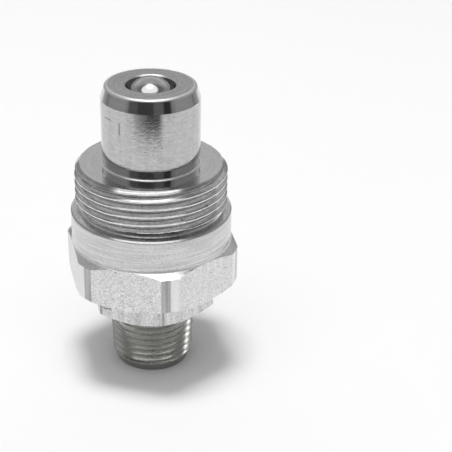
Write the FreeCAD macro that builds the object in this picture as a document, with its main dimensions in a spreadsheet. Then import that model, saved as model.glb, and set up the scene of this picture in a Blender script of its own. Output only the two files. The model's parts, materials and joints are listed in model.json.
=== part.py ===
import FreeCAD, Part
import math
import os
import re
import Sketcher

# Hydraulic quick coupler, male half with a ball check.
# It stands on its pipe end, and +Z runs up the axis to the nose.
# The driving dimensions in millimetres and degrees.
sizes = {
    # the outside, from the pipe end upwards
    "pipe_end_length": 13.0,
    "pipe_end_diameter": 14.75,
    "pipe_lead_length": 2.65,
    "pipe_thread_diameter": 17.1,
    "pipe_taper": 0.0625,
    "pipe_relief_width": 1.8,
    "pipe_relief_diameter": 14.8,
    "adapter_hex_flats": 23.0,
    "adapter_hex_length": 5.8,
    "adapter_hex_face_diameter": 22.0,
    "adapter_clocking": -3.45,
    "milling_allowance": 0.2,
    "body_hex_flats": 32.0,
    "body_hex_corners": 35.0,
    "body_hex_length": 9.1,
    "rear_face_diameter": 31.2,
    "hex_chamfer_angle": 30.0,
    "collar_diameter": 31.9,
    "collar_length": 6.6,
    "collar_root_radius": 1.2,
    "collar_edge_break": 0.25,
    "relief_width": 0.45,
    "relief_diameter": 28.0,
    "union_thread_diameter": 30.0,
    "union_thread_length": 9.25,
    "thread_chamfer": 1.05,
    "nose_length": 15.9,
    "nose_diameter": 19.2,
    "nose_lead_length": 2.55,
    "nose_face_diameter": 17.5,
    "nose_rim_radius": 0.6,
    "neck_diameter": 18.8,
    "neck_length": 1.8,
    "neck_root_radius": 0.25,
    # the ball check inside the nose
    "mouth_diameter": 9.7,
    "mouth_chamfer": 0.28,
    "ball_diameter": 9.525,
    "ball_rise": 1.36,
    "ball_room": 1.2,
    "seat_half_angle": 25.0,
    "seat_land": 0.25,
    "seat_clearance": 0.05,
    "valve_travel": 3.5,
    "stop_clearance": 0.1,
    "guide_length": 4.4,
    "guide_clearance": 0.08,
    "cup_half_angle": 45.0,
    "cup_lip": 0.45,
    "cup_clearance": 0.02,
    "cup_floor_diameter": 3.0,
    "flute_diameter": 3.2,
    "flute_count": 6,
    "stem_diameter": 3.6,
    "stem_length": 4.6,
    "spring_coil_diameter": 8.0,
    "spring_wire_diameter": 1.0,
    "spring_turns": 8,
    "spring_closed_gap": 0.15,
    "spring_centring_height": 1.2,
    "spring_centring_clearance": 0.2,
    "seat_disc_thickness": 2.2,
    "seat_disc_clearance": 0.15,
    "seat_post_diameter": 4.0,
    "flow_hole_diameter": 2.6,
    "flow_hole_circle": 9.6,
    "flow_hole_count": 6,
    # the joint between adapter and body
    "spigot_diameter": 20.0,
    "spigot_length": 11.2,
    "spigot_chamfer": 0.8,
    "spigot_clearance": 0.05,
    "end_play": 0.05,
    "flow_bore_diameter": 8.0,
    "flow_bore_flare": 12.6,
    "cone_mouth_diameter": 11.0,
    "cone_half_angle": 30.0,
    "seal_section": 2.0,
    "seal_neck_diameter": 17.8,
    "seal_clearance": 0.05,
}

# Heights above the end face, as formulas of the sizes.
hex_end = "pipe_end_length"
joint = f"({hex_end} + adapter_hex_length)"
collar_start = f"({joint} + body_hex_length)"
relief_start = f"({collar_start} + collar_length)"
thread_start = f"({relief_start} + relief_width)"
shoulder = f"({thread_start} + union_thread_length)"
nose_face = f"({shoulder} + nose_length)"
pipe_thread_end = f"({hex_end} - pipe_relief_width)"
spigot_end = f"({joint} + spigot_length)"
seat_disc_low = f"({spigot_end} + end_play)"
seat_disc_top = f"({seat_disc_low} + seat_disc_thickness)"
ball_centre = f"({nose_face} + ball_rise - ball_diameter / 2)"
guide_top = f"({ball_centre} - ball_diameter / 2 * sin(cup_half_angle * 1deg) + cup_lip)"
guide_low = f"({guide_top} - guide_length)"
stem_end = f"({guide_low} - stem_length)"
post_top = f"({stem_end} - valve_travel - stop_clearance)"

# Radii and depths that several pieces share.
chamber_radius = "(ball_diameter / 2 + ball_room)"
guide_radius = f"({chamber_radius} - guide_clearance)"
spigot_bore_radius = "(spigot_diameter / 2 + spigot_clearance)"
gland_depth = "(seal_section + 2 * seal_clearance)"
gland_radius = f"(seal_neck_diameter / 2 + {gland_depth})"
centring_radius = "((spring_coil_diameter - spring_wire_diameter) / 2 - spring_centring_clearance)"
hex_slope = "tan(hex_chamfer_angle * 1deg)"
# The turned corners of the hexagon stand proud of the collar by at least the fillet at its root.
stock_radius = "max(body_hex_corners / 2; collar_diameter / 2 + collar_root_radius)"

doc = FreeCAD.newDocument("QuickCoupler")
sheet = doc.addObject("Spreadsheet::Sheet", "Sizes")
for row, (alias, value) in enumerate(sizes.items(), 1):
    sheet.set(f"A{row}", alias)
    sheet.set(f"B{row}", str(value))
    sheet.setAlias(f"B{row}", alias)
doc.recompute()


def bound(formula):
    """Put the sheet's name before each size that the formula names."""
    return re.sub(r"[a-z_]+", lambda word: f"Sizes.{word[0]}" if word[0] in sizes else word[0], formula)


def number(formula):
    """Work a formula out with the sheet's present values."""
    return float(sheet.evalExpression(bound(formula)))


def origin_plane(body, role):
    return next(plane for plane in body.Origin.OriginFeatures if plane.Role == role)


def attached_sketch(body, name, role):
    sketch = body.newObject("Sketcher::SketchObject", f"{body.Name}_{name}")
    sketch.AttachmentSupport = [(origin_plane(body, role), "")]
    sketch.MapMode = "FlatFace"
    return sketch


def bind_constraint(sketch, constraint, formula):
    index = sketch.addConstraint(constraint)
    sketch.setExpression(f"Constraints[{index}]", bound(formula))


def section_sketch(body, name, corners):
    """Closed outline in the XZ plane: each corner is a radius and a height, both bound to the sheet."""
    sketch = attached_sketch(body, name, "XZ_Plane")
    points = [FreeCAD.Vector(number(radius), number(height), 0) for radius, height in corners]
    count = len(points)
    for index, point in enumerate(points):
        sketch.addGeometry(Part.LineSegment(point, points[(index + 1) % count]))
    for index, (radius, height) in enumerate(corners):
        before = index - 1 if index else count - 1
        sketch.addConstraint(Sketcher.Constraint("Coincident", before, 2, index, 1))
        if radius == "0":
            sketch.addConstraint(Sketcher.Constraint("PointOnObject", index, 1, -2))
        else:
            across = Sketcher.Constraint("DistanceX", -1, 1, index, 1, points[index].x)
            bind_constraint(sketch, across, radius)
        if height == "0":
            sketch.addConstraint(Sketcher.Constraint("PointOnObject", index, 1, -1))
        else:
            upward = Sketcher.Constraint("DistanceY", -1, 1, index, 1, points[index].y)
            bind_constraint(sketch, upward, height)
    return sketch


def turn(body, kind, name, corners):
    """Turn a section about the axis: a Revolution adds it, a Groove bores it out."""
    sketch = section_sketch(body, f"{name}_section", corners)
    feature = body.newObject(f"PartDesign::{kind}", f"{body.Name}_{name}")
    feature.Profile = sketch
    feature.ReferenceAxis = (sketch, ["V_Axis"])
    feature.Angle = 360
    doc.recompute()
    return feature


def add_circle(sketch, radius, x=0.0, x_formula=None):
    """Circle on the sketch's X axis, its radius and place bound to the sheet."""
    centre = FreeCAD.Vector(x, 0, 0)
    circle = sketch.addGeometry(Part.Circle(centre, FreeCAD.Vector(0, 0, 1), number(radius)))
    bind_constraint(sketch, Sketcher.Constraint("Radius", circle, number(radius)), radius)
    if x_formula is None:
        sketch.addConstraint(Sketcher.Constraint("Coincident", circle, 3, -1, 1))
    else:
        sketch.addConstraint(Sketcher.Constraint("PointOnObject", circle, 3, -1))
        bind_constraint(sketch, Sketcher.Constraint("DistanceX", -1, 1, circle, 3, x), x_formula)
    return circle


def add_hexagon(sketch, flats):
    """Regular hexagon about the origin with two flats square to Y, sized across its flats."""
    corner_radius = f"({flats} / 2 / cos(30deg))"
    guide_circle = add_circle(sketch, corner_radius)
    sketch.setConstruction(guide_circle, True)
    reach = number(corner_radius)
    turns = [math.radians(60 * k) for k in range(6)]
    corners = [FreeCAD.Vector(reach * math.cos(turn), reach * math.sin(turn), 0) for turn in turns]
    sides = [sketch.addGeometry(Part.LineSegment(corners[k], corners[(k + 1) % 6])) for k in range(6)]
    for k, side in enumerate(sides):
        sketch.addConstraint(Sketcher.Constraint("Coincident", sides[k - 1], 2, side, 1))
        sketch.addConstraint(Sketcher.Constraint("PointOnObject", side, 1, guide_circle))
        if k:
            sketch.addConstraint(Sketcher.Constraint("Equal", sides[0], side))
    sketch.addConstraint(Sketcher.Constraint("Horizontal", sides[1]))


def cut(body, name, sketch, depth):
    """Pocket from the sketch downwards, which has to take something away."""
    before = body.Shape.Volume
    pocket = body.newObject("PartDesign::Pocket", f"{body.Name}_{name}")
    pocket.Profile = sketch
    pocket.setExpression("Length", bound(depth))
    doc.recompute()
    if not body.Shape.Volume < before:
        raise RuntimeError(f"{pocket.Name} cuts nothing")
    return pocket


def mill_hexagon(body, flats, blank_radius, top, length):
    """Mill the flats: everything outside the hexagon goes, from the top height down over the length."""
    sketch = attached_sketch(body, "flats_plan", "XY_Plane")
    sketch.setExpression("AttachmentOffset.Base.z", bound(top))
    add_circle(sketch, f"({flats} / 2 + {blank_radius})")
    add_hexagon(sketch, flats)
    doc.recompute()
    return cut(body, "flats", sketch, length)


def drill_round(body, name, hole_radius, circle_radius, count, top, depth):
    """Equal round cuts on a circle about the axis."""
    sketch = attached_sketch(body, f"{name}_plan", "XY_Plane")
    sketch.setExpression("AttachmentOffset.Base.z", bound(top))
    add_circle(sketch, hole_radius, number(circle_radius), circle_radius)
    doc.recompute()
    first = cut(body, name, sketch, depth)
    pattern = body.newObject("PartDesign::PolarPattern", f"{body.Name}_{name}_pattern")
    pattern.Originals = [first]
    pattern.Axis = (sketch, ["N_Axis"])
    pattern.Angle = 360
    pattern.setExpression("Occurrences", bound(count))
    body.Tip = pattern
    doc.recompute()
    return pattern


same_edge = 1e-4  # an edge this near to the wanted circle is the one


def dress_ring(body, kind, name, base, radius, height, size):
    """Fillet or chamfer the circular edge at a radius and height."""
    wanted = (number(radius), number(height))
    edges = []
    for index, edge in enumerate(base.Shape.Edges, 1):
        curve = edge.Curve
        if isinstance(curve, Part.Circle) and math.dist((curve.Radius, curve.Center.z), wanted) < same_edge:
            edges.append(f"Edge{index}")
    feature = body.newObject(f"PartDesign::{kind}", f"{body.Name}_{name}")
    feature.Base = (base, edges)
    feature.setExpression("Radius" if kind == "Fillet" else "Size", bound(size))
    doc.recompute()
    return feature


def new_body(label):
    body = doc.addObject("PartDesign::Body", label)
    body.Label = label
    return body


def make_coupler_body():
    """One turned and milled piece: hexagon, collar, union thread, nose and the chamber for the check."""
    body = new_body("coupler_body")
    rear_rise = f"(({stock_radius} - rear_face_diameter / 2) * {hex_slope})"
    front_drop = f"(({stock_radius} - collar_diameter / 2) * {hex_slope})"
    neck_end = f"({shoulder} + neck_length)"
    blank = turn(body, "Revolution", "blank", [
        ("0", joint),
        ("rear_face_diameter / 2", joint),
        (stock_radius, f"{joint} + {rear_rise}"),
        (stock_radius, f"{collar_start} - {front_drop}"),
        ("collar_diameter / 2", collar_start),
        ("collar_diameter / 2", relief_start),
        ("relief_diameter / 2", relief_start),
        ("relief_diameter / 2", thread_start),
        ("union_thread_diameter / 2", f"{thread_start} + (union_thread_diameter - relief_diameter) / 2"),
        ("union_thread_diameter / 2", f"{shoulder} - thread_chamfer"),
        ("union_thread_diameter / 2 - thread_chamfer", shoulder),
        ("neck_diameter / 2", shoulder),
        ("neck_diameter / 2", neck_end),
        ("nose_diameter / 2", f"{neck_end} + (nose_diameter - neck_diameter) / 2"),
        ("nose_diameter / 2", f"{nose_face} - nose_lead_length"),
        ("nose_face_diameter / 2", nose_face),
        ("0", nose_face),
    ])
    rounded = dress_ring(body, "Fillet", "collar_root", blank, "collar_diameter / 2", collar_start,
                         "collar_root_radius")
    rounded = dress_ring(body, "Fillet", "neck_root", rounded, "neck_diameter / 2", shoulder,
                         "neck_root_radius")
    rounded = dress_ring(body, "Fillet", "nose_rim", rounded, "nose_face_diameter / 2", nose_face,
                         "nose_rim_radius")
    dress_ring(body, "Chamfer", "collar_edge", rounded, "collar_diameter / 2", relief_start,
               "collar_edge_break")
    mill_hexagon(body, "body_hex_flats", stock_radius, f"{collar_start} + collar_root_radius",
                 "body_hex_length + collar_root_radius")
    # The seat is a cone that touches a sphere one clearance larger than the ball.
    seat_reach = "((ball_diameter / 2 + seat_clearance) / cos(seat_half_angle * 1deg))"
    seat_slope = "tan(seat_half_angle * 1deg)"
    throat_radius = ("((ball_diameter / 2 + seat_clearance) * cos(seat_half_angle * 1deg)"
                     " - seat_land * sin(seat_half_angle * 1deg))")
    turn(body, "Groove", "bore", [
        ("0", joint),
        (gland_radius, joint),
        (gland_radius, f"{joint} + {gland_depth}"),
        (spigot_bore_radius, f"{joint} + {gland_depth}"),
        (spigot_bore_radius, seat_disc_top),
        (chamber_radius, seat_disc_top),
        (chamber_radius, f"{ball_centre} + ({seat_reach} - {chamber_radius}) / {seat_slope}"),
        (throat_radius, f"{ball_centre} + ({seat_reach} - {throat_radius}) / {seat_slope}"),
        ("mouth_diameter / 2", f"{nose_face} - mouth_chamfer"),
        ("mouth_diameter / 2 + mouth_chamfer", nose_face),
        ("0", nose_face),
    ])
    return body


def make_end_adapter():
    """Screwed-in end: taper pipe thread below, hexagon, and a spigot inside the body."""
    body = new_body("end_adapter")
    blank_radius = "(adapter_hex_flats / 2 / cos(30deg) + milling_allowance)"
    thread_length = f"({pipe_thread_end} - pipe_lead_length)"
    spigot_low = f"({joint} + {gland_depth})"
    relief_depth = "(pipe_thread_diameter - pipe_relief_diameter) / 2"
    cone_depth = "(cone_mouth_diameter - flow_bore_diameter) / 2 / tan(cone_half_angle * 1deg)"
    turn(body, "Revolution", "blank", [
        ("0", "0"),
        ("pipe_end_diameter / 2", "0"),
        (f"pipe_thread_diameter / 2 - {thread_length} * pipe_taper / 2", "pipe_lead_length"),
        ("pipe_thread_diameter / 2", pipe_thread_end),
        ("pipe_relief_diameter / 2", f"{pipe_thread_end} + {relief_depth}"),
        ("pipe_relief_diameter / 2", hex_end),
        ("adapter_hex_face_diameter / 2", hex_end),
        (blank_radius, f"{hex_end} + ({blank_radius} - adapter_hex_face_diameter / 2) * {hex_slope}"),
        (blank_radius, joint),
        ("seal_neck_diameter / 2", joint),
        ("seal_neck_diameter / 2", spigot_low),
        ("spigot_diameter / 2 - spigot_chamfer", spigot_low),
        ("spigot_diameter / 2", f"{spigot_low} + spigot_chamfer"),
        ("spigot_diameter / 2", f"{spigot_end} - spigot_chamfer"),
        ("spigot_diameter / 2 - spigot_chamfer", spigot_end),
        ("0", spigot_end),
    ])
    mill_hexagon(body, "adapter_hex_flats", blank_radius, joint, "adapter_hex_length")
    turn(body, "Groove", "bore", [
        ("0", "0"),
        ("cone_mouth_diameter / 2", "0"),
        ("flow_bore_diameter / 2", cone_depth),
        ("flow_bore_diameter / 2", f"{spigot_end} - (flow_bore_flare - flow_bore_diameter) / 2"),
        ("flow_bore_flare / 2", spigot_end),
        ("0", spigot_end),
    ])
    body.setExpression("Placement.Rotation.Angle", bound("adapter_clocking * 1deg"))
    return body


def make_check_ball():
    ball = doc.addObject("Part::Sphere", "check_ball")
    ball.Label = "check_ball"
    ball.setExpression("Radius", bound("ball_diameter / 2"))
    ball.setExpression("Placement.Base.z", bound(ball_centre))
    return ball


def make_ball_guide():
    """Fluted cup that carries the ball, centres the spring and stops on the post below it."""
    body = new_body("ball_guide")
    cup_reach = "((ball_diameter / 2 + cup_clearance) / cos(cup_half_angle * 1deg))"
    cup_slope = "tan(cup_half_angle * 1deg)"
    centring_end = f"({guide_low} - spring_centring_height)"
    turn(body, "Revolution", "cup", [
        ("0", stem_end),
        ("stem_diameter / 2", stem_end),
        ("stem_diameter / 2", centring_end),
        (centring_radius, centring_end),
        (centring_radius, guide_low),
        (guide_radius, guide_low),
        (guide_radius, guide_top),
        (f"{cup_reach} - ({ball_centre} - {guide_top}) * {cup_slope}", guide_top),
        ("cup_floor_diameter / 2", f"{ball_centre} - ({cup_reach} - cup_floor_diameter / 2) / {cup_slope}"),
        ("0", f"{ball_centre} - ({cup_reach} - cup_floor_diameter / 2) / {cup_slope}"),
    ])
    drill_round(body, "flute", "flute_diameter / 2", guide_radius, "flute_count", guide_top, "guide_length")
    return body


def make_spring_seat():
    """Perforated disc held in the joint, with the post that limits how far the ball can go back."""
    body = new_body("spring_seat")
    centring_end = f"({seat_disc_top} + spring_centring_height)"
    disc_radius = f"({spigot_bore_radius} - seat_disc_clearance)"
    turn(body, "Revolution", "disc", [
        ("0", seat_disc_low),
        (disc_radius, seat_disc_low),
        (disc_radius, seat_disc_top),
        (centring_radius, seat_disc_top),
        (centring_radius, centring_end),
        ("seat_post_diameter / 2", centring_end),
        ("seat_post_diameter / 2", post_top),
        ("0", post_top),
    ])
    drill_round(body, "flow_hole", "flow_hole_diameter / 2", "flow_hole_circle / 2", "flow_hole_count",
                seat_disc_top, "seat_disc_thickness")
    return body


def make_valve_spring():
    """Compression spring of round wire with closed and ground ends.

    Each half turn is an arc in a plane tilted about Y, so neighbouring half turns meet without a kink.
    """
    low = number(seat_disc_top)
    length = number(guide_low) - low
    coil_radius = number("spring_coil_diameter / 2")
    wire_radius = number("spring_wire_diameter / 2")
    closed_rise = wire_radius + number("spring_closed_gap / 2")
    closed_count = 2  # half turns at each end
    open_count = 2 * (round(number("spring_turns")) - closed_count)
    open_rise = (length - wire_radius - 2 * closed_count * closed_rise) / open_count
    closed_end = [closed_rise] * closed_count
    height = low + wire_radius / 2
    side = 1
    half_turns = []
    for rise in closed_end + [open_rise] * open_count + closed_end:
        start = FreeCAD.Vector(side * coil_radius, 0, height)
        centre = FreeCAD.Vector(0, 0, height + rise / 2)
        forward = FreeCAD.Vector(0, side, 0)
        section = Part.Face(Part.Wire(Part.makeCircle(wire_radius, start, forward)))
        half_turns.append(section.revolve(centre, (start - centre).cross(forward), 180))
        height += rise
        side = -side
    coil = half_turns[0].fuse(half_turns[1:])
    between_faces = Part.makeCylinder(coil_radius + 2 * wire_radius, length, FreeCAD.Vector(0, 0, low))
    spring = doc.addObject("Part::Feature", "valve_spring")
    spring.Label = "valve_spring"
    spring.Shape = coil.common(between_faces).Solids[0]
    spring.Placement = FreeCAD.Placement()
    return spring


def make_joint_seal():
    """O-ring round the adapter's neck, shut in by the body's counterbore."""
    seal = doc.addObject("Part::Torus", "joint_seal")
    seal.Label = "joint_seal"
    seal.setExpression("Radius1", bound("seal_neck_diameter / 2 + seal_clearance + seal_section / 2"))
    seal.setExpression("Radius2", bound("seal_section / 2"))
    seal.setExpression("Placement.Base.z", bound(f"{joint} + seal_clearance + seal_section / 2"))
    return seal


pieces = [
    make_coupler_body(),
    make_end_adapter(),
    make_check_ball(),
    make_ball_guide(),
    make_spring_seat(),
    make_valve_spring(),
    make_joint_seal(),
]
doc.recompute()

for item in doc.Objects:
    if "Invalid" in item.State or "Error" in item.State:
        raise RuntimeError(f"{item.Name} did not recompute: {item.State}")
for piece in pieces:
    if piece.Shape.isNull() or not piece.Shape.isValid():
        raise RuntimeError(f"{piece.Label} has no valid shape")

os.makedirs("parts", exist_ok=True)
for piece in pieces:
    piece.Shape.exportStep(f"parts/{piece.Label}.step")
    print(piece.Label, len(piece.Shape.Solids), round(piece.Shape.Volume, 2))
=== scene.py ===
import json
import math

import bmesh
import bpy
import numpy as np
from mathutils import Matrix, Vector

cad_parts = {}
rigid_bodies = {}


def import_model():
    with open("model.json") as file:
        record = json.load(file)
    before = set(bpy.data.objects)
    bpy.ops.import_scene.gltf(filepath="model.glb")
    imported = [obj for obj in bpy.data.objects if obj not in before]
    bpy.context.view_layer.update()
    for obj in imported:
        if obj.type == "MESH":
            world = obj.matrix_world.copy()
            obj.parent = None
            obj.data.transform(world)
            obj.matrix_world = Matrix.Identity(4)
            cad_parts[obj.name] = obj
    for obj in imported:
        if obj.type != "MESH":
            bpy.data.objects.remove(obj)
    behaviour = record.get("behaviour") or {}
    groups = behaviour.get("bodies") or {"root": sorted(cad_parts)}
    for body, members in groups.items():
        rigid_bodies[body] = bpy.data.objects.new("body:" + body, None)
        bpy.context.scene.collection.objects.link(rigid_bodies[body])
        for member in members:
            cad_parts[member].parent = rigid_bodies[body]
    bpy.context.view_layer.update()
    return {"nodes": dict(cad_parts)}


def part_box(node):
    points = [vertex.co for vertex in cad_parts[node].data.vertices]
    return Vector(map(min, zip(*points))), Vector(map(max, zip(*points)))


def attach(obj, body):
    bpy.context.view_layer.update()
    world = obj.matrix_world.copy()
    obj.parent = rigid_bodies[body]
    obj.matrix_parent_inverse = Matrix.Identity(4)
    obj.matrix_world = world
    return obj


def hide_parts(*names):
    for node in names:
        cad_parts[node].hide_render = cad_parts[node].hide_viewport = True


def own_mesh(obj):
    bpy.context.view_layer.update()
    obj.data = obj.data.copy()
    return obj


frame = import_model()
mm = 0.001  # sizes below are in millimetres, meshes in metres
print("frame loaded:", ", ".join(sorted(frame["nodes"])))


# Shader maths: a Wire holds one output socket, and Python's operators add Math nodes to its tree.
class Wire:
    def __init__(self, tree, socket=None):
        self.tree = tree
        self.socket = socket

    # one node of any type: its settings are set first, then each input gets a value or a link
    def node(self, kind, settings=None, inputs=None, output=0):
        made = self.tree.nodes.new(kind)
        for key, value in (settings or {}).items():
            setattr(made, key, value)
        for key, value in (inputs or {}).items():
            if isinstance(value, Wire):
                self.tree.links.new(value.socket, made.inputs[key])
            else:
                made.inputs[key].default_value = value
        return Wire(self.tree, made.outputs[output] if made.outputs else None)

    def out(self, name):
        return Wire(self.tree, self.socket.node.outputs[name])

    def maths(self, operation, first, second=0.0):
        return self.node("ShaderNodeMath", {"operation": operation}, {0: first, 1: second})

    def __abs__(self):
        return self.maths("ABSOLUTE", self)

    # smooth step from 0 at low to 1 at high
    def step(self, low, high):
        return self.node("ShaderNodeMapRange", {"interpolation_type": "SMOOTHSTEP"},
                         {"Value": self, "From Min": low, "From Max": high})

    # noise along a vector, from 0 to 1
    def noise(self, vector, scale, detail, rough):
        return self.node("ShaderNodeTexNoise", {}, {"Vector": vector, "Scale": scale, "Detail": detail,
                                                    "Roughness": rough})

    # colour that goes from one to the other as this value goes from 0 to 1
    def blend(self, first, second):
        return self.node("ShaderNodeMix", {"data_type": "RGBA"}, {0: self, 6: first, 7: second}, output=2)

    def __add__(self, other):
        return self.maths("ADD", self, other)

    def __radd__(self, other):
        return self.maths("ADD", other, self)

    def __sub__(self, other):
        return self.maths("SUBTRACT", self, other)

    def __rsub__(self, other):
        return self.maths("SUBTRACT", other, self)

    def __mul__(self, other):
        return self.maths("MULTIPLY", self, other)

    def __rmul__(self, other):
        return self.maths("MULTIPLY", other, self)

    def __pow__(self, other):
        return self.maths("POWER", self, other)


def newMaterial(name):
    material = bpy.data.materials.new(name)
    material.use_nodes = True
    material.node_tree.nodes.clear()
    return material, Wire(material.node_tree)


def grey(value, warm=0.0):
    return (value, value, value * (1 - warm), 1.0)


# Finishes of the plated steel. Scales are per millimetre.
# tone: share of the colour that the mark takes away; bump: height of the mark in micrometres;
# lineRun and lineFine: scale of the turning lines along and across them; grainFlat: how flat the grain is;
# warm: share of blue that is missing; brushed: how far the sheen is drawn out.
plain = {"rough": 0.25, "lineRun": 0.12, "lineFine": 2.6, "lineTone": 0.0, "lineBump": 0.0, "streakTone": 0.0,
         "grainScale": 2.0, "grainDetail": 4.0, "grainFlat": 1.0, "grainTone": 0.06, "grainBump": 0.6,
         "pitScale": 1.6, "pitTone": 0.0, "warm": 0.0, "brushed": 0.0, "scratches": ()}
# a scratch has an angle round the axis in degrees, a height, and its size across and along the axis
noseScratches = ((250.5, 53.9, 0.40, 3.0), (231.0, 55.1, 3.0, 0.28))
threadNicks = ((315.0, 38.25, 1.0, 0.50), (311.5, 37.95, 0.6, 0.35), (333.0, 39.4, 0.7, 0.35))
smallHexNicks = ((243.5, 15.85, 2.0, 0.36), (239.5, 16.0, 1.0, 0.28))
finishes = {
    "hexFlats": {"colour": 0.85, "rough": 0.33, "grainScale": 3.4, "grainTone": 0.34, "grainBump": 9.0,
                 "pitScale": 2.5, "pitTone": 0.90, "streakTone": 0.04},
    # the corner finish comes in a lighter and a darker copy; the darker one is painted shade for a dark
    # reflection
    "cornerBright": {"colour": 0.78, "rough": 0.22, "streakTone": 0.08, "grainTone": 0.05},
    "cornerDark": {"colour": 0.48, "rough": 0.22, "streakTone": 0.30, "grainTone": 0.08},
    "smallHex": {"colour": 0.80, "rough": 0.30, "grainScale": 3.0, "grainTone": 0.34, "grainBump": 5.0,
                 "pitScale": 2.4, "pitTone": 0.8, "streakTone": 0.22, "scratches": smallHexNicks},
    # dark line at the small hexagon's creases: painted shade
    "smallEdge": {"colour": 0.40, "rough": 0.30, "grainScale": 3.0, "grainTone": 0.30},
    "chamfer": {"colour": 0.70, "rough": 0.22, "lineTone": 0.04, "lineBump": 0.3},
    "hexChamfer": {"colour": 0.68, "rough": 0.29, "lineTone": 0.06, "lineBump": 0.3, "grainTone": 0.10},
    # the arc at the collar's root is painted lighter than the collar: painted light over its dark reflection,
    # while its roughness is real
    "collarFoot": {"colour": 0.84, "rough": 0.55, "lineTone": 0.04, "lineBump": 0.3},
    "collarTop": {"colour": 0.72, "rough": 0.30, "lineTone": 0.10, "lineBump": 1.0},
    # dark band under the collar's top edge: painted shade
    "collarRim": {"colour": 0.36, "rough": 0.30, "lineTone": 0.10, "grainTone": 0.20},
    # pale rough ring at the relief's root: painted highlight, a light line however little lamp light reaches
    # it
    "reliefRoot": {"colour": 0.88, "rough": 0.26, "lineTone": 0.10, "grainTone": 0.15},
    "collar": {"colour": 0.68, "rough": 0.25, "lineFine": 4.2, "lineTone": 0.25, "lineBump": 1.6,
               "grainTone": 0.02, "grainBump": 0.2, "brushed": 0.3},
    "relief": {"colour": 0.70, "rough": 0.20, "lineTone": 0.06, "lineBump": 0.3},
    # union thread: the crest is painted lighter than the flanks, painted highlight
    "threadCrest": {"colour": 0.88, "rough": 0.16, "grainScale": 1.1, "grainTone": 0.20, "grainBump": 6.0,
                    "pitScale": 1.8, "pitTone": 0.3, "scratches": threadNicks},
    "threadFlank": {"colour": 0.64, "rough": 0.18, "lineTone": 0.14, "grainScale": 1.1, "grainTone": 0.14,
                    "grainBump": 6.0, "pitScale": 1.8, "pitTone": 0.25, "scratches": threadNicks},
    # the union thread's root is painted dark: painted shade in the groove
    "threadRoot": {"colour": 0.40, "rough": 0.30, "lineTone": 0.15, "grainTone": 0.15},
    "shoulder": {"colour": 0.68, "rough": 0.14, "lineTone": 0.10, "lineBump": 0.8, "grainTone": 0.08,
                 "grainBump": 0.6},
    "nose": {"colour": 0.57, "rough": 0.10, "lineRun": 0.45, "lineTone": 0.12, "lineBump": 0.5,
             "grainScale": 1.4, "grainDetail": 2.0, "grainFlat": 2.0, "grainTone": 0.12, "grainBump": 6.0,
             "streakTone": 0.08, "pitScale": 1.4, "pitTone": 0.3, "brushed": 0.3, "scratches": noseScratches},
    "noseLead": {"colour": 0.66, "rough": 0.12, "lineTone": 0.05, "lineBump": 0.3, "grainTone": 0.04,
                 "grainBump": 0.3},
    "mouthEdge": {"colour": 0.70, "rough": 0.36, "lineTone": 0.05},
    "polished": {"colour": 0.66, "rough": 0.08, "lineTone": 0.05, "lineBump": 0.3, "grainTone": 0.03,
                 "grainBump": 0.2},
    "noseFace": {"colour": 0.63, "rough": 0.24, "lineTone": 0.14, "lineBump": 0.8, "grainScale": 2.6,
                 "grainTone": 0.28, "grainBump": 4.0, "pitScale": 1.6, "pitTone": 0.4},
    # the rounded rim is painted lighter than the face: painted highlight on top of its real one
    "noseRim": {"colour": 0.80, "rough": 0.42, "lineTone": 0.10, "grainTone": 0.15},
    # the fillet at the neck's root is painted near white: painted highlight
    "neckRoot": {"colour": 0.95, "rough": 0.38, "lineTone": 0.10, "grainTone": 0.15},
    # the bores are painted near black: painted shade inside the recesses
    "bore": {"colour": 0.15, "rough": 0.25, "lineTone": 0.20, "lineBump": 1.5, "grainTone": 0.10},
    # the pipe thread's crest rounding is painted darker: painted shade that dims the lamp's highlights on it
    "pipeCrest": {"colour": 0.46, "rough": 0.18, "grainTone": 0.10, "warm": 0.05},
    "pipeThread": {"colour": 0.66, "rough": 0.18, "lineTone": 0.06, "grainTone": 0.12, "pitTone": 0.15,
                   "warm": 0.05},
    # the pipe thread's root is painted dark: painted shade in the groove
    "pipeRoot": {"colour": 0.46, "rough": 0.25, "grainTone": 0.15, "warm": 0.05},
    # the pipe's plain end is painted dark: painted shade for the contact shadow it mirrors
    "pipeEnd": {"colour": 0.36, "rough": 0.22, "lineTone": 0.10, "grainTone": 0.12, "warm": 0.03},
    "ball": {"colour": 0.62, "rough": 0.14, "grainScale": 1.5, "grainTone": 0.05, "grainBump": 0.1},
    "inner": {"colour": 0.55, "rough": 0.30, "lineTone": 0.15, "lineBump": 1.5, "grainTone": 0.08},
    "spring": {"colour": 0.45, "rough": 0.28, "grainScale": 3.0, "grainTone": 0.20, "grainBump": 1.5,
               "pitTone": 0.3},
}


# What all finishes have in common. An edge gives the values between which a mark fades in.
marks = {
    "noiseRough": 0.6,
    "lineDetail": 1.5,
    "lineEdge": (0.35, 0.65),
    "streakScale": 0.9,
    "streakRun": 0.05,             # scale along the axis as a share of the scale round it
    "streakDetail": 3.0,
    "streakEdge": (0.35, 0.65),
    "grainEdge": (0.32, 0.68),
    "grainRough": 0.3,             # share by which the roughness varies
    "pitEdge": (0.10, 0.30),
    "pitRough": 0.2,
    "pitDepth": 8.0,               # micrometres
    "patchScale": 0.9,             # pits come in patches
    "patchDetail": 2.0,
    "patchRough": 0.5,
    "patchEdge": (0.45, 0.60),
    "scratchAcross": (0.2, 0.5),   # shares of a scratch's size
    "scratchAlong": (0.3, 0.5),
    "scratchTone": 0.6,
    "brushedTurn": 0.25,           # quarter turn, so the sheen lies across the turning lines
}
micrometre = 1e-6


# 1 up to the first share of a size, 0 from the second on
def within(distance, size, shares):
    return 1 - distance.step(size * shares[0], size * shares[1])


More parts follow.
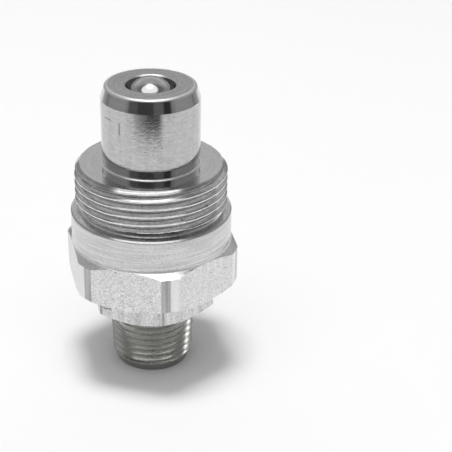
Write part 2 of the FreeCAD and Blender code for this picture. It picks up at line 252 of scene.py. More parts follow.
# Plated steel: turning lines follow circles of equal height plus radius, streaks run along the axis,
# grain is fine noise, and pits are small dark cells. All of them and the scratches mark the colour,
# lines, grain and pits the bump as well, and grain and pits the roughness too.
def platedSteel(name, look):
    material, wire = newMaterial(name)
    metres = wire.node("ShaderNodeTexCoord", output="Object")
    place = wire.node("ShaderNodeVectorMath", {"operation": "SCALE"}, {0: metres, "Scale": 1 / mm})
    x = wire.node("ShaderNodeSeparateXYZ", {}, {0: place})
    y = x.out("Y")
    z = x.out("Z")
    along = z + (x * x + y * y) ** 0.5
    track = wire.node("ShaderNodeCombineXYZ", {}, {0: x * look["lineRun"], 1: y * look["lineRun"],
                                                   2: along * look["lineFine"]})
    upright = wire.node("ShaderNodeCombineXYZ", {}, {0: x, 1: y, 2: z * marks["streakRun"]})
    flattened = wire.node("ShaderNodeCombineXYZ", {}, {0: x, 1: y, 2: z * look["grainFlat"]})
    lines = wire.noise(track, 1.0, marks["lineDetail"], marks["noiseRough"])
    streaks = wire.noise(upright, marks["streakScale"], marks["streakDetail"], marks["noiseRough"])
    grain = wire.noise(flattened, look["grainScale"], look["grainDetail"], marks["noiseRough"])
    patches = wire.noise(place, marks["patchScale"], marks["patchDetail"], marks["patchRough"])
    cells = wire.node("ShaderNodeTexVoronoi", {}, {"Vector": place, "Scale": look["pitScale"]})
    pits = (1 - cells.step(*marks["pitEdge"])) * patches.step(*marks["patchEdge"])
    lineMark = lines.step(*marks["lineEdge"])
    grainMark = grain.step(*marks["grainEdge"])
    streakMark = streaks.step(*marks["streakEdge"])
    shade = (1 - lineMark * look["lineTone"]) * (1 - grainMark * look["grainTone"])
    shade = shade * (1 - pits * look["pitTone"]) * (1 - streakMark * look["streakTone"])
    for angle, level, wide, tall in look["scratches"]:
        turn = math.radians(angle)
        across = abs(y * math.cos(turn) - x * math.sin(turn))
        sameSide = (x * math.cos(turn) + y * math.sin(turn)).step(0, 1)
        mark = within(across, wide, marks["scratchAcross"])
        mark = mark * within(abs(z - level), tall, marks["scratchAlong"])
        shade = shade * (1 - mark * sameSide * marks["scratchTone"])
    colour = shade.blend(grey(0.0), grey(look["colour"], look["warm"]))
    spread = look["rough"] * marks["grainRough"]
    pitRough = marks["pitRough"] * look["pitTone"]
    pitDepth = marks["pitDepth"] * look["pitTone"]
    rough = grainMark * spread + (look["rough"] - spread / 2) + pits * pitRough
    height = lines * look["lineBump"] + grain * look["grainBump"] - pits * pitDepth
    normal = wire.node("ShaderNodeBump", {}, {"Height": height, "Distance": micrometre, "Strength": 1.0})
    shader = wire.node("ShaderNodeBsdfPrincipled", {}, {"Base Color": colour, "Metallic": 1.0,
                                                        "Roughness": rough, "Normal": normal,
                                                        "Anisotropic": look["brushed"],
                                                        "Anisotropic Rotation": marks["brushedTurn"]})
    wire.node("ShaderNodeOutputMaterial", {}, {"Surface": shader})
    return material


rubber = {"dark": 0.015, "pale": 0.04, "rough": 0.5, "roughSpread": 0.2,
          "grainScale": 3.0, "grainDetail": 3.0, "grainRough": 0.5, "bump": 5.0, "bumpStrength": 0.6}


# Black rubber with a fine moulded grain.
def sealRubber(name):
    material, wire = newMaterial(name)
    place = wire.node("ShaderNodeTexCoord", output="Object")
    grain = wire.noise(place, rubber["grainScale"] / mm, rubber["grainDetail"], rubber["grainRough"])
    colour = grain.blend(grey(rubber["dark"]), grey(rubber["pale"]))
    rough = grain * rubber["roughSpread"] + rubber["rough"]
    normal = wire.node("ShaderNodeBump", {}, {"Height": grain, "Distance": rubber["bump"] * micrometre,
                                              "Strength": rubber["bumpStrength"]})
    shader = wire.node("ShaderNodeBsdfPrincipled", {}, {"Base Color": colour, "Roughness": rough,
                                                        "Normal": normal})
    wire.node("ShaderNodeOutputMaterial", {}, {"Surface": shader})
    return material


steel = {name: platedSteel(name, plain | look) for name, look in finishes.items()}
print("finishes made:", len(steel))


# Profiles and grids

arcSteps = 8        # rows of a rounded corner
support = 0.05      # rows this near to both ends of a straight stretch keep its shading flat
shortest = 0.3      # shorter stretches do without them


def unit(vector):
    return vector / np.linalg.norm(vector)


# Rows of a turned outline. Each corner is radius, height, rounding and the finish of the stretch after it.
# A rounding is an arc tangent to both stretches: its centre lies on the bisector, rounding / sin(half angle)
# from the corner, and its points swing from one tangent point to the other.
def turnedRows(corners):
    points = []
    kinds = []
    for index, (radius, height, rounding, kind) in enumerate(corners):
        here = np.array([radius, height])
        stretch = here[None, :]
        if rounding:
            back = unit(np.array(corners[index - 1][:2]) - here)
            ahead = unit(np.array(corners[index + 1][:2]) - here)
            half = math.acos(float(back @ ahead)) / 2
            centre = here + unit(back + ahead) * rounding / math.sin(half)
            start = here + back * rounding / math.tan(half) - centre
            end = here + ahead * rounding / math.tan(half) - centre
            swing = math.pi - 2 * half
            share = np.linspace(0, 1, arcSteps + 1)[:, None]
            swept = np.sin((1 - share) * swing) * start + np.sin(share * swing) * end
            stretch = centre + swept / math.sin(swing)
        if points and np.linalg.norm(stretch[0] - points[-1]) > shortest:
            step = unit(stretch[0] - points[-1]) * support
            points += [points[-1] + step, stretch[0] - step]
            kinds += [kinds[-1]] * 2
        points += list(stretch)
        kinds += [kind] * len(stretch)
    return np.array(points), kinds


# One band of the grid: radius and height for each row and column, and the finish of each row.
def ringBand(corners, angles):
    points, kinds = turnedRows(corners)
    flat = np.ones((1, len(angles)))
    return points[:, :1] * flat, points[:, 1:] * flat, kinds


# Depth of a thread at a phase from 0 to 1 along its pitch: flat crest, straight flanks, flat root.
# A worn crest is a hyperbola between the flanks.
def threadDepth(phase, thread):
    fromCrest = np.abs((phase + 0.5) % 1.0 - 0.5)
    flank = 0.5 - thread["crest"] / 2 - thread["root"] / 2
    sunk = np.clip((fromCrest - thread["crest"] / 2) / flank, 0, 1)
    worn = thread["worn"]
    return thread["depth"] * (np.hypot(sunk, worn) - worn) / (math.hypot(1, worn) - worn)


# Band of a thread: rows climb one pitch in a turn, so each row keeps its phase and the seam meets
# the row one pitch further on. Heights are held between low and high, and outline gives the crests.
# The groove deepens to its full depth above low.
def threadBand(angles, low, high, thread, outline):
    perPitch = thread["rows"]
    count = math.ceil(((high - low) / thread["pitch"] + 1 + thread["clocking"]) * perPitch) + 1
    turned = (angles[None, :] - angles[0]) / (2 * math.pi) - thread["clocking"]
    turns = np.arange(count)[:, None] / perPitch - 1 + turned
    heights = np.clip(low + thread["pitch"] * turns, low, high)
    phase = (heights - low) / thread["pitch"] - turned
    crest, limit = outline(heights)
    cut = np.clip((heights - low) / thread["fadeIn"], 0, 1)
    sunk = threadDepth((np.arange(count) + 0.5) / perPitch, thread) / thread["depth"]
    # crest and root rows take finishes of their own, whose colours paint light and shade onto the thread
    zones = (sunk > thread["crestTo"]) * 1 + (sunk > thread["rootFrom"])
    kinds = [thread["finishes"][zone] for zone in zones]
    return np.minimum(crest - threadDepth(phase, thread) * cut, limit), heights, kinds


# Quads between the rows and columns of a grid of point numbers.
def gridQuads(index):
    return np.stack([index[:-1, :-1], index[:-1, 1:], index[1:, 1:], index[1:, :-1]], axis=-1).reshape(-1, 4)


# Mesh from bands: x = radius cos(angle), y = radius sin(angle), z = height, in one grid of quads.
# The last column lies on the first, and doubles are merged. A ring shape joins its last row to its first.
# Each entry of kindsAt gives some columns of one finish another finish.
def gridMesh(name, angles, bands, kindsAt=(), ring=True):
    radius = np.concatenate([band[0] for band in bands])
    height = np.concatenate([band[1] for band in bands])
    kinds = sum([band[2] for band in bands], [])
    points = np.stack([radius * np.cos(angles), radius * np.sin(angles), height], axis=-1) * mm
    rows, columns = radius.shape
    index = np.arange(rows * columns).reshape(rows, columns)
    if ring:
        index = np.concatenate([index, index[:1]])
    else:
        kinds = kinds[:-1]
    names = sorted(set(kinds) | {other for kind, chosen, other in kindsAt})
    slots = np.array([names.index(kind) for kind in kinds])[:, None] * np.ones((1, columns - 1), int)
    for kind, chosen, other in kindsAt:
        slots[np.ix_(np.array(kinds) == kind, chosen)] = names.index(other)
    mesh = bpy.data.meshes.new(name)
    mesh.from_pydata(points.reshape(-1, 3), [], gridQuads(index))
    mesh.polygons.foreach_set("material_index", slots.reshape(-1).astype(np.int32))
    for kind in names:
        mesh.materials.append(steel[kind])
    return finishMesh(name, mesh)


sharpFrom = math.radians(16)  # edges that turn more than this stay crisp
mergeWithin = 2e-7            # metres


# Merges what lies together, turns the faces outwards and shades the mesh smooth between its crisp edges.
def finishMesh(name, mesh):
    work = bmesh.new()
    work.from_mesh(mesh)
    bmesh.ops.remove_doubles(work, verts=work.verts, dist=mergeWithin)
    bmesh.ops.dissolve_degenerate(work, dist=mergeWithin, edges=work.edges)
    if work.calc_volume(signed=True) < 0:
        bmesh.ops.reverse_faces(work, faces=work.faces)
    work.to_mesh(mesh)
    work.free()
    mesh.polygons.foreach_set("use_smooth", np.ones(len(mesh.polygons), bool))
    mesh.set_sharp_from_angle(angle=sharpFrom)
    piece = bpy.data.objects.new(name, mesh)
    bpy.context.scene.collection.objects.link(piece)
    return piece


def heightsOf(node):
    low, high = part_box(node)
    return low.z / mm, high.z / mm


# Coupler body

bodyLow, bodyTop = heightsOf("coupler_body")
ballLow, ballTop = heightsOf("check_ball")
body = {
    "hexFlats": 32.0,
    "hexCorners": 35.0,
    "hexLength": 9.1,
    "rearFace": 31.2,
    "chamferAngle": 30.0,
    "collar": 31.9,
    "collarLength": 6.6,
    "collarRoot": 0.4,
    "collarBreak": 0.25,
    "collarRim": 0.16,
    "relief": 28.0,
    "reliefWidth": 0.45,
    "reliefBevel": (0.22, 0.26),
    "thread": 30.0,
    "threadLength": 9.25,
    "threadLead": 1.05,
    "neck": 18.8,
    "neckLength": 1.8,
    "neckRoot": 0.25,
    "nose": 19.2,
    "noseLead": 2.55,
    "noseFace": 17.5,
    "noseRim": 0.6,
    "mouth": 9.7,
    "mouthChamfer": 0.28,
    "ballRoom": 1.2,
    "seatAngle": 25.0,
    "seatLand": 0.25,
    "seatClearance": 0.05,
    "spigotBore": 20.1,
    "spigotDepth": 13.45,
    "gland": 22.0,
    "glandDepth": 2.1,
    "edge": 0.12,
    "coneRows": 4,
    "flatRows": 6,
    "cornerColumns": 4,
    "flatColumns": 33,
}
# the union thread's crest finish is painted light and its root finish dark: painted highlight and painted
# shade
unionThread = {"pitch": 1.63, "depth": 0.94, "crest": 3 / 32, "root": 5 / 32, "worn": 0.12, "rows": 32,
               "clocking": 0.304, "fadeIn": 0.02,
               "finishes": ("threadCrest", "threadFlank", "threadRoot"), "crestTo": 0.01, "rootFrom": 0.90}


# Half widths of a hexagon's outline: half the flats over cos(angle from the flat), held at turned corners.
def hexReach(angles, flats, corners, firstCorner=0.0):
    fromFlat = (angles - firstCorner) % (math.pi / 3) - math.pi / 6
    return np.minimum(flats / 2 / np.cos(fromFlat), corners / 2)


# Hexagon of the body, from the rear face up to the foot of the collar. Every column follows the real creases:
# rear cone out to the flat, the flat, front cone back in, and the arc at the collar's root.
def hexBand(angles, low, collarFoot):
    reach = hexReach(angles, body["hexFlats"], body["hexCorners"])[None, :]
    slope = math.tan(math.radians(body["chamferAngle"]))
    rear = body["rearFace"] / 2
    collar = body["collar"] / 2
    root = body["collarRoot"]
    rearCone = rear + (reach - rear) * np.linspace(0, 1, body["coneRows"] + 1)[:, None]
    rearHeights = low + (rearCone - rear) * slope
    # the arc starts at the collar and turns by 90 degrees less the chamfer's angle, or up to the flat
    fullTurn = math.pi / 2 - math.radians(body["chamferAngle"])
    arcCentre = collarFoot + root * math.tan(fullTurn / 2)
    arcEnd = np.minimum(np.arccos(np.clip(1 - (reach - collar) / root, -1, 1)), fullTurn)
    coneEnd = np.minimum(reach, collar + root * (1 - math.cos(fullTurn)))
    frontCone = reach + (coneEnd - reach) * np.linspace(0, 1, body["coneRows"])[:, None]
    arc = arcEnd * np.linspace(1, 0, arcSteps + 1)[:, None]
    arcHeights = arcCentre - root * np.sin(arc)
    coneHeights = arcHeights[:1] - (frontCone - coneEnd) * slope
    flat = np.linspace(0, 1, body["flatRows"] + 1)[1:-1, None]
    flatHeights = rearHeights[-1:] + (coneHeights[:1] - rearHeights[-1:]) * flat
    radius = np.concatenate([rearCone, reach + 0 * flat, frontCone, collar + root * (1 - np.cos(arc))])
    height = np.concatenate([rearHeights, flatHeights, coneHeights, arcHeights])
    # the arc at the collar's root takes the collarFoot finish, painted lighter: painted light
    kinds = ["chamfer"] * body["coneRows"] + ["hexFlats"] * body["flatRows"]
    kinds += ["hexChamfer"] * body["coneRows"] + ["collarFoot"] * len(arc)
    return radius, height, kinds


# Columns of the body: each sixth of a turn has two half corners and a flat, so the creases fall on columns.
# The half corners beside every other flat are counted apart from the rest, since they take a darker copy of
# the corner finish: painted shade for a dark reflection.
def hexColumns():
    half = math.pi / 6 - math.acos(body["hexFlats"] / body["hexCorners"])
    sixth = math.pi / 3
    part = np.concatenate([
        np.linspace(0, half, body["cornerColumns"], endpoint=False),
        np.linspace(half, sixth - half, body["flatColumns"], endpoint=False),
        np.linspace(sixth - half, sixth, body["cornerColumns"], endpoint=False),
    ])
    angles = np.concatenate([part + sixth * k for k in range(6)] + [[2 * math.pi]])
    middle = (angles[:-1] + angles[1:]) / 2
    inCorner = (middle % sixth < half) | (middle % sixth > sixth - half)
    besideEvenFlat = middle % (2 * sixth) < sixth
    return angles, np.flatnonzero(inCorner & besideEvenFlat), np.flatnonzero(inCorner & ~besideEvenFlat)


# One closed outline carried round the axis: rear face, hexagon, collar, thread, nose and the bores inside.
def makeCouplerBody():
    angles, paintedShadeCorners, brightCorners = hexColumns()
    collarFoot = bodyLow + body["hexLength"]
    collarTop = collarFoot + body["collarLength"]
    threadLow = collarTop + body["reliefWidth"]
    shoulder = threadLow + body["threadLength"]
    neckTop = shoulder + body["neckLength"]
    edge = body["edge"]
    threadRadius = body["thread"] / 2
    # the seat is a cone that touches a sphere a little larger than the ball
    ballRadius = (ballTop - ballLow) / 2
    chamber = ballRadius + body["ballRoom"]
    seatTilt = math.radians(body["seatAngle"])
    seatSphere = ballRadius + body["seatClearance"]
    throat = seatSphere * math.cos(seatTilt) - body["seatLand"] * math.sin(seatTilt)

    def seatHeight(radius):
        return ballLow + ballRadius + (seatSphere / math.cos(seatTilt) - radius) / math.tan(seatTilt)

    # crests of the thread, and the two chamfers that end it
    def threadOutline(heights):
        rising = body["relief"] / 2 + heights - threadLow
        falling = threadRadius - body["threadLead"] + shoulder - heights
        return threadRadius, np.minimum(rising, falling)

    rear = [
        (body["gland"] / 2, bodyLow, 0, "shoulder"),
        (body["rearFace"] / 2 - support, bodyLow, 0, "shoulder"),
    ]
    collar = [
        (body["collar"] / 2, collarFoot + body["collarRoot"], 0, "collar"),
        # the band under the top edge takes the dark collarRim finish: painted shade
        (body["collar"] / 2, collarTop - body["collarBreak"] - body["collarRim"], 0, "collarRim"),
        (body["collar"] / 2, collarTop - body["collarBreak"], 0, "chamfer"),
        (body["collar"] / 2 - body["collarBreak"], collarTop, 0, "collarTop"),
        # the bevel at the relief's root takes the pale finish: painted highlight
        (body["relief"] / 2 + body["reliefBevel"][0], collarTop, 0, "reliefRoot"),
        (body["relief"] / 2, collarTop + body["reliefBevel"][1], 0, "relief"),
        (body["relief"] / 2, threadLow - support, 0, "relief"),
    ]
    front = [
        (threadRadius - body["threadLead"] - support, shoulder, 0, "shoulder"),
        # the fillet at the neck's root takes the near-white neckRoot finish: painted highlight
        (body["neck"] / 2, shoulder, body["neckRoot"], "neckRoot"),
        (body["neck"] / 2, shoulder + body["neckRoot"] + support, 0, "polished"),
        (body["neck"] / 2, neckTop, 0, "polished"),
        (body["nose"] / 2, neckTop + (body["nose"] - body["neck"]) / 2, edge, "nose"),
        (body["nose"] / 2, bodyTop - body["noseLead"], edge, "noseLead"),
        # the rounded rim takes the lighter noseRim finish: painted highlight
        (body["noseFace"] / 2, bodyTop, body["noseRim"], "noseRim"),
        (body["noseFace"] / 2 - body["noseRim"], bodyTop, 0, "noseFace"),
        (body["mouth"] / 2 + body["mouthChamfer"], bodyTop, 0, "mouthEdge"),
        # the walls inside the mouth take the bore finish, painted dark: painted shade
        (body["mouth"] / 2, bodyTop - body["mouthChamfer"], 0, "bore"),
        (throat, seatHeight(throat), 0, "bore"),
        (chamber, seatHeight(chamber), 0, "bore"),
        (chamber, bodyLow + body["spigotDepth"], 0, "bore"),
        (body["spigotBore"] / 2, bodyLow + body["spigotDepth"], 0, "bore"),
        (body["spigotBore"] / 2, bodyLow + body["glandDepth"], 0, "bore"),
        (body["gland"] / 2, bodyLow + body["glandDepth"], 0, "bore"),
    ]
    bands = [
        ringBand(rear, angles),
        hexBand(angles, bodyLow, collarFoot),
        ringBand(collar, angles),
        threadBand(angles, threadLow, shoulder, unionThread, threadOutline),
        ringBand(front, angles),
    ]
    # half the corners take the darker copy, painted shade, and the rest take the lighter one
    return gridMesh("couplerBody", angles, bands, [("hexFlats", paintedShadeCorners, "cornerDark"),
                                                   ("hexFlats", brightCorners, "cornerBright")])


couplerBody = makeCouplerBody()
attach(couplerBody, "housing")
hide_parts("coupler_body")
print("coupler body:", len(couplerBody.data.polygons), "faces")


# End adapter

adapterLow, adapterTop = heightsOf("end_adapter")
adapter = {
    "pipeLength": 13.0,
    "pipeEnd": 14.75,
    "pipeLead": 2.65,
    "plainEnd": 1.7,
    "pipe": 17.1,
    "taper": 0.0625,
    "reliefWidth": 1.8,
    "relief": 14.8,
    "reliefRound": 0.2,
    "hexFlats": 23.0,
    "hexLength": 5.8,
    "hexFace": 22.0,
    "clocking": -3.45,
    "chamferAngle": 30.0,
    "sealNeck": 17.8,
    "glandDepth": 2.1,
    "spigot": 20.0,
    "spigotChamfer": 0.8,
    "bore": 8.0,
    "flare": 12.6,
    "coneMouth": 11.0,
    "coneDepth": 2.598,
    "coneRows": 4,
    "flatRows": 5,
    "sixthColumns": 30,
}
# the pipe thread's crest and root finishes are painted dark: painted shade
pipeThread = {"pitch": 1.411, "depth": 0.78, "crest": 2 / 36, "root": 3 / 36, "worn": 0.06, "rows": 36,
              "clocking": 0.0, "fadeIn": 0.25,
              "finishes": ("pipeCrest", "pipeThread", "pipeRoot"), "crestTo": 0.12, "rootFrom": 0.8}


# One closed outline carried round the axis: pipe end, taper thread, relief, hexagon, spigot and flow bore.
def makeEndAdapter():
    firstCorner = math.radians(adapter["clocking"])
    corners = np.arange(6) * adapter["sixthColumns"]
    angles = firstCorner + np.linspace(0, 2 * math.pi, 6 * adapter["sixthColumns"] + 1)
    hexLow = adapterLow + adapter["pipeLength"]
    hexTop = hexLow + adapter["hexLength"]
    threadTop = hexLow - adapter["reliefWidth"]
    pipeRadius = adapter["pipe"] / 2
    reliefTop = threadTop + pipeRadius - adapter["relief"] / 2
    leadRadius = pipeRadius - (threadTop - adapterLow - adapter["pipeLead"]) * adapter["taper"] / 2
    slope = math.tan(math.radians(adapter["chamferAngle"]))

    def leadCone(heights):
        share = (heights - adapterLow) / adapter["pipeLead"]
        return adapter["pipeEnd"] / 2 + (leadRadius - adapter["pipeEnd"] / 2) * share

    # crests on the taper, and the lead and the run-out that end them
    def pipeOutline(heights):
        runOut = pipeRadius + threadTop - heights
        crest = pipeRadius - (threadTop - heights) * adapter["taper"] / 2
        return crest, np.minimum(leadCone(heights), runOut)

    # the corners of this hexagon are sharp, so nothing holds their reach
    reach = hexReach(angles, adapter["hexFlats"], math.inf, firstCorner)[None, :]
    face = adapter["hexFace"] / 2
    cone = face + (reach - face) * np.linspace(0, 1, adapter["coneRows"] + 1)[:, None]
    coneHeights = hexLow + np.maximum(cone - face, 0) * slope
    flat = np.linspace(0, 1, adapter["flatRows"] + 1)[1:, None]
    flatHeights = coneHeights[-1:] + (hexTop - coneHeights[-1:]) * flat
    hexagon = (np.concatenate([cone, reach + 0 * flat]), np.concatenate([coneHeights, flatHeights]),
               ["chamfer"] * adapter["coneRows"] + ["smallHex"] * adapter["flatRows"] + ["relief"])
    threadLow = adapterLow + adapter["plainEnd"]
    # the plain end and lead take the dark pipeEnd finish: painted shade
    end = [
        (adapter["bore"] / 2, adapterLow + adapter["coneDepth"], 0, "bore"),
        (adapter["coneMouth"] / 2, adapterLow, 0, "pipeEnd"),
        (adapter["pipeEnd"] / 2, adapterLow, 0, "pipeEnd"),
        (leadCone(threadLow - support), threadLow - support, 0, "pipeEnd"),
    ]
    relief = [
        (adapter["relief"] / 2, reliefTop, 0, "relief"),
        (adapter["relief"] / 2, hexLow, adapter["reliefRound"], "shoulder"),
        (face - support, hexLow, 0, "shoulder"),
    ]
    spigotLow = hexTop + adapter["glandDepth"]
    spigotRadius = adapter["spigot"] / 2
    # the adapter's inside takes the same dark bore finish: painted shade
    inside = [
        (adapter["sealNeck"] / 2, hexTop, 0, "bore"),
        (adapter["sealNeck"] / 2, spigotLow, 0, "bore"),
        (spigotRadius - adapter["spigotChamfer"], spigotLow, 0, "bore"),
        (spigotRadius, spigotLow + adapter["spigotChamfer"], 0, "bore"),
        (spigotRadius, adapterTop - adapter["spigotChamfer"], 0, "bore"),
        (spigotRadius - adapter["spigotChamfer"], adapterTop, 0, "bore"),
        (adapter["flare"] / 2, adapterTop, 0, "bore"),
        (adapter["bore"] / 2, adapterTop - (adapter["flare"] - adapter["bore"]) / 2, 0, "bore"),
    ]
    bands = [
        ringBand(end, angles),
        threadBand(angles, threadLow, reliefTop, pipeThread, pipeOutline),
        ringBand(relief, angles),
        hexagon,
        ringBand(inside, angles),
    ]
    # the columns at the creases take the dark edge finish, a painted shade line
    return gridMesh("endAdapter", angles, bands, [("smallHex", corners, "smallEdge")])


endAdapter = makeEndAdapter()
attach(endAdapter, "housing")
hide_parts("end_adapter")
print("end adapter:", len(endAdapter.data.polygons), "faces")


# Check ball

ball = {"rows": 96, "columns": 160}


# Sphere: radius = half cos(latitude), height = centre + half sin(latitude).
def makeCheckBall():
    half = (ballTop - ballLow) / 2
    latitude = np.linspace(-math.pi / 2, math.pi / 2, ball["rows"] + 1)[:, None]
    angles = np.linspace(0, 2 * math.pi, ball["columns"] + 1)
    flat = np.ones((1, len(angles)))
    radius = np.maximum(half * np.cos(latitude), 0) * flat
    height = (ballLow + half + half * np.sin(latitude)) * flat
    return gridMesh("checkBall", angles, [(radius, height, ["ball"] * len(latitude))], ring=False)


checkBall = makeCheckBall()
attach(checkBall, "check_valve")
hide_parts("check_ball")
print("check ball:", len(checkBall.data.polygons), "faces")


# Valve spring

springLow, springTop = heightsOf("valve_spring")
spring = {"coil": 8.0, "wire": 1.0, "turns": 8, "closedHalves": 2, "closedGap": 0.15,
          "perTurn": 48, "around": 16}


# Wire round a helix: the centre line is (coil cos, coil sin, climb), with closed coils at both ends,
# and the wire's circle lies across it. Heights are held between the ground ends.
def makeValveSpring():
    coil = spring["coil"] / 2
    wire = spring["wire"] / 2
    closedRise = wire + spring["closedGap"] / 2
    closed = [closedRise] * spring["closedHalves"]
    halves = 2 * spring["turns"]
    openHalves = halves - 2 * len(closed)
    openRise = (springTop - springLow - wire - 2 * sum(closed)) / openHalves
    rises = closed + [openRise] * openHalves + closed
    knots = springLow + wire / 2 + np.concatenate([[0], np.cumsum(rises)])
    turned = np.linspace(0, math.pi * halves, spring["turns"] * spring["perTurn"] + 1)
    climb = np.interp(turned, np.arange(halves + 1) * math.pi, knots)[:, None]
    around = np.linspace(0, 2 * math.pi, spring["around"] + 1)[None, :]
    size = np.ones_like(turned)[:, None] * wire
    size[[0, -1]] = 0  # closed at the ends
    reach = coil + size * np.cos(around)
    height = np.clip(climb + size * np.sin(around), springLow, springTop)
    cosine = np.cos(turned)[:, None]
    sine = np.sin(turned)[:, None]
    points = np.stack([reach * cosine, reach * sine, height], axis=-1) * mm
    rows, columns = height.shape
    index = np.arange(rows * columns).reshape(rows, columns)
    mesh = bpy.data.meshes.new("valveSpring")
    mesh.from_pydata(points.reshape(-1, 3), [], gridQuads(index))
    mesh.materials.append(steel["spring"])
    return finishMesh("valveSpring", mesh)


valveSpring = makeValveSpring()
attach(valveSpring, "housing")
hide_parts("valve_spring")
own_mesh(valveSpring)
print("valve spring:", len(valveSpring.data.polygons), "faces")


# Inner pieces keep their shapes and get a finish.
def dress(node, material):
    mesh = frame["nodes"][node].data
    mesh.materials.clear()
    mesh.materials.append(material)


dress("ball_guide", steel["inner"])
dress("spring_seat", steel["inner"])
dress("joint_seal", sealRubber("sealRubber"))
print("inner pieces dressed")


# Camera

viewpoint = {
    "azimuth": 18.34,    # degrees round the axis
    "distance": 206.74,  # millimetres from the axis
    "height": 137.05,
    "down": 27.395,      # degrees below level
    "right": 4.142,      # degrees off the axis
    "roll": 1.459,
    "lens": 92.10,
    "nearest": 0.01,     # metres
}
toCamera = Matrix.Rotation(math.radians(viewpoint["azimuth"]), 3, "Z")


# The camera looks ahead, down and to the right, is rolled about that line, and is then turned round the axis.
def makeCamera():
    down = math.radians(viewpoint["down"])
    right = math.radians(viewpoint["right"])
    roll = math.radians(viewpoint["roll"])
    ahead = Vector((math.sin(right) * math.cos(down), math.cos(right) * math.cos(down), -math.sin(down)))
    side = Vector((math.cos(right), -math.sin(right), 0))
    up = side.cross(ahead)
    turnedSide = side * math.cos(roll) + up * math.sin(roll)
    turnedUp = up * math.cos(roll) - side * math.sin(roll)
    axes = toCamera @ Matrix((turnedSide, turnedUp, -ahead)).transposed()
    place = toCamera @ Vector((0, -viewpoint["distance"], viewpoint["height"])) * mm
    camera = bpy.data.objects.new("camera", bpy.data.cameras.new("camera"))
    camera.data.lens = viewpoint["lens"]
    camera.data.clip_start = viewpoint["nearest"]
    camera.matrix_world = Matrix.Translation(place) @ axes.to_4x4()
    bpy.context.scene.collection.objects.link(camera)
    bpy.context.scene.camera = camera


makeCamera()
print("camera placed")


# Stage: pale floor, a wide soft light with a stronger core overhead, grey surroundings with a glow behind,
# two dark cards in front and a small bright card behind to the right

stage = {
    "floorHalf": 8.0,          # metres
    "floorColour": 0.90,
    "floorRough": 0.9,
    "floorFar": 0.40,          # colour of the floor away from the object
    "fadeStart": 0.34,
    "fadeEnd": 0.50,
    "lightHeight": 2.0,
    "surround": 0.17,          # brightness of the surroundings
    "ring": 0.33,              # near the horizon
    "ringEdge": (0.50, 0.75),  # it fades between these heights, 1 being straight up
    "glow": 0.62,              # behind the object, above the horizon
    "glowBehind": (0.10, 0.40),
    "glowBeside": (0.25, 0.65),
    "glowAbove": (0.22, 0.42),
    "cardAway": 0.135,         # metres from the axis
    "cardSide": 56.0,          # degrees to either side of the front
    "cardColumns": 40,
    "cardHeights": (0.012, 0.125),
    "cardBlur": 2.5,           # degrees by which the stripes run into each other
    "footSides": (-48.0, 32.0),
    "footBlur": 7.0,
    "bright": 2.2,             # strength of the small slanted card behind the object to the right
    "brightFrom": (0.0523, 0.0365, 0.034, 0.041),  # its left end: right, back, lowest and highest
    "brightTo": (0.0645, 0.0155, 0.041, 0.050),
}


# Flat or bent sheet through a grid of points, turned with the camera.
def stageSheet(name, points, material):
    points = np.array(points) @ np.array(toCamera).T
    index = np.arange(points.shape[0] * points.shape[1]).reshape(points.shape[:2])
    mesh = bpy.data.meshes.new(name)
    mesh.from_pydata(points.reshape(-1, 3), [], gridQuads(index))
    mesh.materials.append(material)
    piece = bpy.data.objects.new(name, mesh)
    bpy.context.scene.collection.objects.link(piece)
    return piece


# White paper that turns grey far from the object.
def floorMaterial():
    material, wire = newMaterial("floorPaper")
    place = wire.node("ShaderNodeTexCoord", output="Object")
    away = wire.node("ShaderNodeVectorMath", {"operation": "LENGTH"}, {0: place}, output="Value")
    far = away.step(stage["fadeStart"], stage["fadeEnd"])
    colour = far.blend(grey(stage["floorColour"]), grey(stage["floorFar"]))
    shader = wire.node("ShaderNodeBsdfPrincipled", {}, {"Base Color": colour, "Specular IOR Level": 0.0,
                                                        "Roughness": stage["floorRough"]})
    wire.node("ShaderNodeOutputMaterial", {}, {"Surface": shader})
    return material


# Stripes of the dark cards from left to right: where each begins, in degrees, and its brightness.
cardStripes = [(-90, 0.26), (-50, 0.105), (-29, 0.055), (6.4, 0.135), (28.5, 0.03), (46, 0.26)]
footStripes = [(-90, 0.90), (-38, 0.45), (-24, 0.24), (-10, 0.06), (8, 0.08), (23, 0.85)]


# Glow that steps from stripe to stripe with the bearing, which is the angle round the axis from the front.
def cardMaterial(name, stripes, blur):
    material, wire = newMaterial(name)
    place = wire.node("ShaderNodeTexCoord", output="Object")
    x = wire.node("ShaderNodeSeparateXYZ", {}, {0: place})
    turn = math.radians(viewpoint["azimuth"])
    across = x * math.cos(turn) + x.out("Y") * math.sin(turn)
    ahead = x * math.sin(turn) - x.out("Y") * math.cos(turn)
    bearing = wire.maths("ARCTAN2", across, ahead) * math.degrees(1)
    level = 0.0
    before = 0.0
    for start, brightness in stripes:
        level = bearing.step(start - blur, start + blur) * (brightness - before) + level
        before = brightness
    colour = level.blend(grey(0.0), grey(1.0))
    shader = wire.node("ShaderNodeEmission", {}, {"Color": colour, "Strength": 1.0})
    wire.node("ShaderNodeOutputMaterial", {}, {"Surface": shader})
    return material


# Upright card on an arc in front of the object: x = away sin(bearing), y = -away cos(bearing).
def arcCard(name, sides, heights, stripes, blur):
    bearing = np.radians(np.linspace(*sides, stage["cardColumns"] + 1))[None, :]
    level = np.array(heights)[:, None]
    x = stage["cardAway"] * np.sin(bearing) + 0 * level
    y = -stage["cardAway"] * np.cos(bearing) + 0 * level
    points = np.stack([x, y, level + 0 * bearing], axis=-1)
    return stageSheet(name, points, cardMaterial(name, stripes, blur))


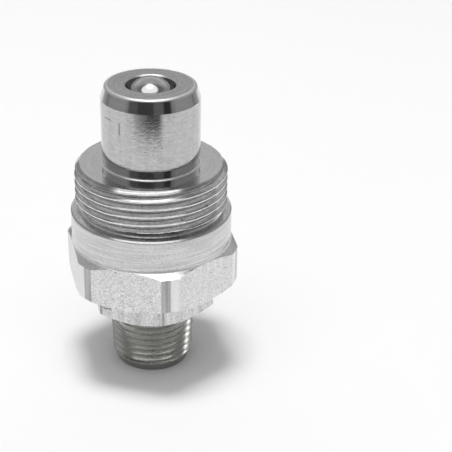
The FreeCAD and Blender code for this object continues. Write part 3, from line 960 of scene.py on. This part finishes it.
# Even white glow of the bright card.
def brightMaterial():
    material, wire = newMaterial("cardBright")
    shader = wire.node("ShaderNodeEmission", {}, {"Color": grey(1.0), "Strength": stage["bright"]})
    wire.node("ShaderNodeOutputMaterial", {}, {"Surface": shader})
    return material


# Reach of the overhead lights to each side, in degrees from straight up, and their power in watts.
wideLight = {"left": 38.0, "right": 30.5, "front": 38.0, "back": 8.0, "power": 14.2}
coreLight = {"left": 12.0, "right": 7.0, "front": 7.5, "back": 7.5, "power": 22.9}


# Level ellipse between the reaches to its four sides: reach = height tan(angle).
def overheadLight(name, look):
    sides = ("left", "right", "front", "back")
    left, right, front, back = [stage["lightHeight"] * math.tan(math.radians(look[side])) for side in sides]
    lamp = bpy.data.lights.new(name, "AREA")
    lamp.shape = "ELLIPSE"
    lamp.size = left + right
    lamp.size_y = front + back
    lamp.energy = look["power"]
    light = bpy.data.objects.new(name, lamp)
    light.location = toCamera @ Vector(((right - left) / 2, (back - front) / 2, stage["lightHeight"]))
    light.rotation_euler = (0, 0, math.radians(viewpoint["azimuth"]))
    bpy.context.scene.collection.objects.link(light)


def makeStage():
    half = stage["floorHalf"]
    floor = [[(-half, -half, 0), (half, -half, 0)], [(-half, half, 0), (half, half, 0)]]
    stageSheet("floor", floor, floorMaterial())
    side = stage["cardSide"]
    low, high = stage["cardHeights"]
    left, back, leftLow, leftHigh = stage["brightFrom"]
    right, near, rightLow, rightHigh = stage["brightTo"]
    bright = [[(left, back, leftLow), (right, near, rightLow)],
              [(left, back, leftHigh), (right, near, rightHigh)]]
    cards = [
        arcCard("darkCard", (-side, side), (low, high), cardStripes, stage["cardBlur"]),
        arcCard("darkCardFoot", stage["footSides"], (0, low), footStripes, stage["footBlur"]),
        stageSheet("brightCard", bright, brightMaterial()),
    ]
    for card in cards:
        card.visible_camera = False  # only reflections show the cards
        card.visible_diffuse = False
        card.visible_shadow = False
    overheadLight("wideLight", wideLight)
    overheadLight("coreLight", coreLight)


# Dark surroundings with a grey ring round the horizon and a glow behind the object.
def makeSurround():
    world = bpy.data.worlds.new("surround")
    bpy.context.scene.world = world
    world.use_nodes = True
    world.node_tree.nodes.clear()
    wire = Wire(world.node_tree)
    toward = wire.node("ShaderNodeTexCoord", output="Generated")
    x = wire.node("ShaderNodeSeparateXYZ", {}, {0: toward})
    turn = math.radians(viewpoint["azimuth"])
    behind = x.out("Y") * math.cos(turn) - x * math.sin(turn)
    beside = x * math.cos(turn) + x.out("Y") * math.sin(turn)
    up = x.out("Z")
    ring = 1 - up.step(*stage["ringEdge"])
    glow = behind.step(*stage["glowBehind"]) * (1 - (beside * beside).step(*stage["glowBeside"]))
    glow = glow * up.step(*stage["glowAbove"])
    level = ring * (stage["ring"] - stage["surround"]) + stage["surround"]
    level = level + glow * (stage["glow"] - stage["ring"])
    shader = wire.node("ShaderNodeBackground", {}, {"Color": grey(1.0), "Strength": level})
    wire.node("ShaderNodeOutputWorld", {}, {"Surface": shader})


makeStage()
makeSurround()
bpy.context.scene.view_settings.view_transform = "Standard"
print("stage set")
